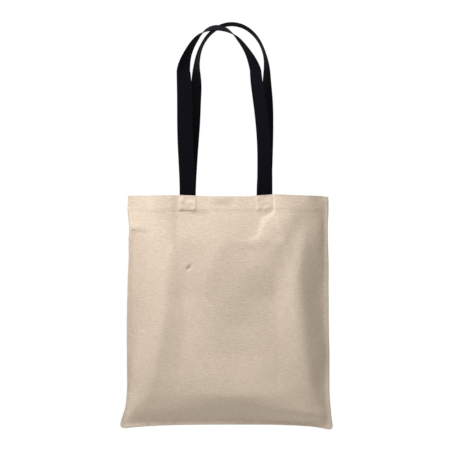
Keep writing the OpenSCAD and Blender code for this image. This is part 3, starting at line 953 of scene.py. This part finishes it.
def webbing_handle(panel, handle):
    """One handle: an outline of the webbing at each step, and its sewn ends."""
    side = handle["side"]
    us = np.concatenate([np.linspace(0, 1, leg_steps)[:-1], np.linspace(1, 2, arch_steps),
                         np.linspace(2, 3, leg_steps)[1:]])
    frames, angles = [], []
    tiny = 0.001
    for u in us:
        p = handle_point(u, handle)
        run = handle_point(min(3, u + tiny), handle) - handle_point(max(0, u - tiny), handle)
        run /= np.linalg.norm(run)
        out = np.cross(run, [0, 1, 0])
        out /= np.linalg.norm(out)
        frames.append((p, out, np.cross(out, run)))
        share = (p[2] - mouth_z) / handle["top"]
        turns = [t[1] if u < 1.5 else t[2] for t in handle["turn"]]
        angles.append(math.radians(np.interp(share, [t[0] for t in handle["turn"]], turns)))
    angles = np.array(angles)
    for _ in range(turn_softening):
        angles[1:-1] = (angles[:-2] + 2 * angles[1:-1] + angles[2:]) / 4
    outline = webbing_outline()
    points = []
    for (p, out, level), a in zip(frames, angles):
        across = math.cos(a) * out - math.sin(a) * level
        through = -math.cos(a) * level - math.sin(a) * out
        points.append([p + q[0] * across + q[1] * through for q in outline])
    points = np.array(points)
    if side > 0:
        points[..., 1] *= -1
    # Each leg comes in to its sewn end, which runs on down behind the hem.
    tails = []
    near_mouth = np.clip(1 - (points[..., 2] - mouth_z) / leg_joins, 0, 1) ** 2
    left_half = np.arange(len(points)) < len(points) / 2
    for k, end, leg in ((0, webbing_ends[0], left_half), (-1, webbing_ends[1], ~left_half)):
        target = float(webbing_face(panel, end)(end, bag_height)[1])
        points[leg, :, 1] += (target - points[k][:, 1].mean()) * near_mouth[leg]
        tail = []
        for h in np.linspace(bag_height - 1, hem_line + 0.4, sewn_steps):
            ring = points[k].copy()
            ring[:, 2] = mouth_z - bag_height + h
            tail.append(ring)
        tails.append(tail)
    rings = np.array(tails[0][::-1] + list(points) + tails[1])
    count, sides = rings.shape[:2]
    index = np.arange(count * sides).reshape(count, sides)
    nxt = np.roll(index, -1, 1)
    quads = np.stack([index[:-1], index[1:], nxt[1:], nxt[:-1]], -1).reshape(-1, 4)
    ends = [index[0].tolist(), index[-1][::-1].tolist()]
    if side > 0:
        quads = quads[:, ::-1]
        ends = [end[::-1] for end in ends]
    made = mesh_object(f"{panel}_webbing", rings.reshape(-1, 3), quads.tolist() + ends)
    # Flat pattern: across the webbing, and along it.
    run = np.linalg.norm(np.diff(rings.mean(1), axis=0), axis=1)
    run = np.concatenate([[0], np.cumsum(run)])
    places = np.array([q[0] for q in outline])
    lay_pattern(made, np.stack([np.tile(places, count), np.repeat(run, sides)], 1) / 1000)
    return made


# Black cotton webbing: a deep dyed black with a faint cool cast, a soft nap and hardly
# any gloss. Its picks are 1.2 mm apart and its ribs 1.5 mm, too fine to show, and both are
# drawn four times as coarse.
pick_spacing, rib_spacing = 4.737, 5.922
nap_size = 3.0
webbing, tree, shader = new_material("black_cotton_webbing", {
    "Roughness": 0.95, "Specular IOR Level": 0.06, "Sheen Weight": 0.01,
    "Sheen Roughness": 0.4})
pattern = add_node(tree, "ShaderNodeUVMap", uv_map="pattern").outputs["UV"]
picks = add_node(tree, "ShaderNodeTexWave", {
    "Vector": pattern, "Scale": band_scale / pick_spacing, "Distortion": 0.6},
    bands_direction="Y")
ribs = add_node(tree, "ShaderNodeTexWave", {
    "Vector": pattern, "Scale": band_scale / rib_spacing, "Distortion": 0.3},
    bands_direction="X")
nap = add_node(tree, "ShaderNodeTexNoise", {
    "Vector": pattern, "Scale": 1000 / nap_size, "Detail": 4.0, "Roughness": 0.65})
relief = add_node(tree, "ShaderNodeMath", {
    0: picks.outputs["Fac"], 1: ribs.outputs["Fac"]}, operation="MULTIPLY")
surface = add_node(tree, "ShaderNodeMath", {
    0: relief.outputs["Value"], 1: 0.2, 2: nap.outputs["Fac"]}, operation="MULTIPLY_ADD")
tone = add_node(tree, "ShaderNodeMapRange", {
    "Value": surface.outputs["Value"], "From Min": 0.3, "From Max": 0.9})
dyed = add_node(tree, "ShaderNodeMix", {
    "Factor": tone.outputs["Result"], "A": linear("#030307"), "B": linear("#0B0A12")},
    data_type="RGBA")
tree.links.new(dyed.outputs["Result"], shader.inputs["Base Color"])
bump = add_node(tree, "ShaderNodeBump", {
    "Strength": 0.6, "Distance": 0.0004, "Height": surface.outputs["Value"]})
tree.links.new(bump.outputs["Normal"], shader.inputs["Normal"])

for panel, handle in handles.items():
    made = webbing_handle(panel, handle)
    made.data.materials.append(webbing)
    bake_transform(made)
    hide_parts(f"{panel}_handle", f"{panel}_left_handle_end", f"{panel}_right_handle_end")

# ---------------------------------------------------------------------------------
# Studio
# A plain pale floor of matt paper below the hanging bag. The light is soft: a large lamp
# high on the left, a small one close above the bag's front, one behind for its back, and
# a surround that is brighter in front, behind and overhead than at the sides.

floor_z = -1080.0
floor_left, floor_right = -3000.0, 3000.0
floor_front, floor_back = -3000.0, 2000.0
floor = mesh_object("studio_floor", [
    (floor_left, floor_front, floor_z), (floor_right, floor_front, floor_z),
    (floor_right, floor_back, floor_z), (floor_left, floor_back, floor_z)],
    [(0, 1, 2, 3)], smooth=False)

# Matt paper: no gloss, and very faint clouds some 100 mm across.
paper_clouds = 100.0
paper, tree, shader = new_material("matt_paper_floor", {"Roughness": 0.95})
grain = add_node(tree, "ShaderNodeTexNoise", {
    "Scale": (floor_right - floor_left) / paper_clouds})
paper_shade = add_node(tree, "ShaderNodeMix", {
    "Factor": grain.outputs["Fac"], "A": linear("#DFDFDD"), "B": linear("#E4E4E3")},
    data_type="RGBA")
tree.links.new(paper_shade.outputs["Result"], shader.inputs["Base Color"])
floor.data.materials.append(paper)

# The surround lights the bag softly, and is plain white where it is seen directly.
world = bpy.data.worlds.new("studio_surround")
bpy.context.scene.world = world
world.use_nodes = True
tree = world.node_tree
tree.nodes.clear()
ray = add_node(tree, "ShaderNodeLightPath")
mirrored = add_node(tree, "ShaderNodeMath", {
    0: ray.outputs["Is Camera Ray"], 1: ray.outputs["Is Glossy Ray"]}, operation="MAXIMUM")
seen = add_node(tree, "ShaderNodeMath", {
    0: mirrored.outputs["Value"], 1: ray.outputs["Is Transmission Ray"]}, operation="MAXIMUM")
way = add_node(tree, "ShaderNodeSeparateXYZ", {
    "Vector": add_node(tree, "ShaderNodeTexCoord").outputs["Generated"]})
overhead = add_node(tree, "ShaderNodeMath", {
    0: way.outputs["Z"], 1: 0.45}, operation="MULTIPLY")
facing = add_node(tree, "ShaderNodeMath", {
    0: way.outputs["Y"], 1: way.outputs["Y"], 2: overhead.outputs["Value"]},
    operation="MULTIPLY_ADD")
level = add_node(tree, "ShaderNodeMapRange", {
    "Value": facing.outputs["Value"], "To Min": 0.04, "To Max": 0.545})
dim = add_node(tree, "ShaderNodeBackground", {
    "Color": linear("#FFFAF4"), "Strength": level.outputs["Result"]})
white = add_node(tree, "ShaderNodeBackground", {"Color": (1, 1, 1, 1), "Strength": 1.0})
both = add_node(tree, "ShaderNodeMixShader", {
    0: seen.outputs["Value"], 1: dim.outputs["Background"], 2: white.outputs["Background"]})
add_node(tree, "ShaderNodeOutputWorld", {"Surface": both.outputs["Shader"]})


def soft_lamp(name, place, aim, size, power):
    """A rectangular lamp at a place, turned towards the point it is aimed at."""
    lamp = bpy.data.lights.new(name, "AREA")
    lamp.shape = "RECTANGLE"
    lamp.size, lamp.size_y = size
    lamp.energy = power
    made = bpy.data.objects.new(name, lamp)
    made.location = place
    from_aim = made.location - type(made.location)(aim)
    made.rotation_mode = "QUATERNION"
    made.rotation_quaternion = from_aim.to_track_quat("Z", "Y")
    bpy.context.scene.collection.objects.link(made)


# Each lamp's place, the point it is aimed at, its size, all in metres, and its power.
soft_lamp("key_lamp", (-2.2, -1.62, 1.75), (0, 0, -0.40), (1.2, 1.2), 30.2)
soft_lamp("top_lamp", (-0.22, -0.44, 0.30), (0, 0, -0.30), (0.5, 0.3), 7.4)
soft_lamp("back_lamp", (1.7, 2.1, 1.3), (0, 0, -0.40), (1.2, 1.2), 48)

# The camera looks level at the bag's front, from 2.6 m away.
camera_data = bpy.data.cameras.new("camera")
camera_data.sensor_width = 36.0
camera_data.lens = 116.67
camera_data.clip_start, camera_data.clip_end = 0.05, 50
camera = bpy.data.objects.new("camera", camera_data)
camera.location = (-0.00408, -2.6, -0.343)
camera.rotation_euler = (math.pi / 2, 0, 0)
bpy.context.scene.collection.objects.link(camera)
bpy.context.scene.camera = camera
bpy.context.scene.view_settings.view_transform = "Standard"
